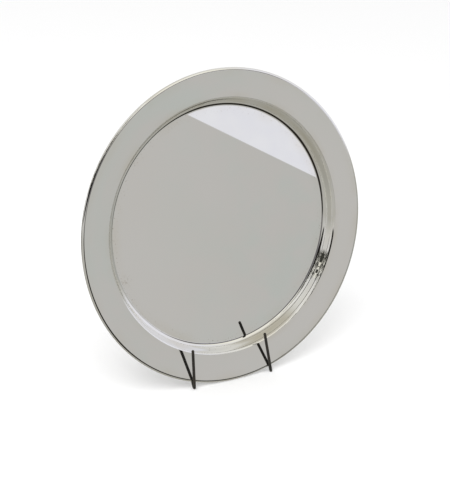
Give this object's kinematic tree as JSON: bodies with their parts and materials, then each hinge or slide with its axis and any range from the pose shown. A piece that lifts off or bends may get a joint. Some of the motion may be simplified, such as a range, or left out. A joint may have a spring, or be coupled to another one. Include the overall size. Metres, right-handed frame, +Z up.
{
  "type": "offering plate",
  "caption": "Round polished metal offering plate with a flat well, stepped wall and wide rim, leaning on a folding wire stand",
  "frame": {"origin": "on the table, midway between the two front feet of the stand", "axes": "+Z up, +X to the right seen from the front, the plate faces -Y and leans back towards +Y"},
  "size_m": [0.305, 0.0958, 0.3029],
  "materials": {
    "polished_silver": "mirror-polished silver plate, faint warm tarnish near the edge",
    "dark_wire": "dark bronze-black painted steel wire"
  },
  "bodies": {
    "stand_frame": {"left_side_wire": "dark_wire", "right_side_wire": "dark_wire", "lower_cross_wire": "dark_wire", "stop_cross_wire": "dark_wire", "hinge_rod": "dark_wire"},
    "plate": {"plate_body": "polished_silver", "rim_edge_wire": "polished_silver"},
    "rear_leg": {"rear_leg_wire": "dark_wire", "left_knuckle": "dark_wire", "right_knuckle": "dark_wire"}
  },
  "joints": [
    {"name": "plate_lift", "type": "slide", "parent": "stand_frame", "child": "plate", "axis": [0, 0.1392, 0.9903], "range_m": [0, 0.2]},
    {"name": "rear_leg_fold", "type": "hinge", "parent": "stand_frame", "child": "rear_leg", "pos_m": [0, 0.03483, 0.12544], "axis": [1, 0, 0], "range_deg": [-28.5, 0]}
  ]
}
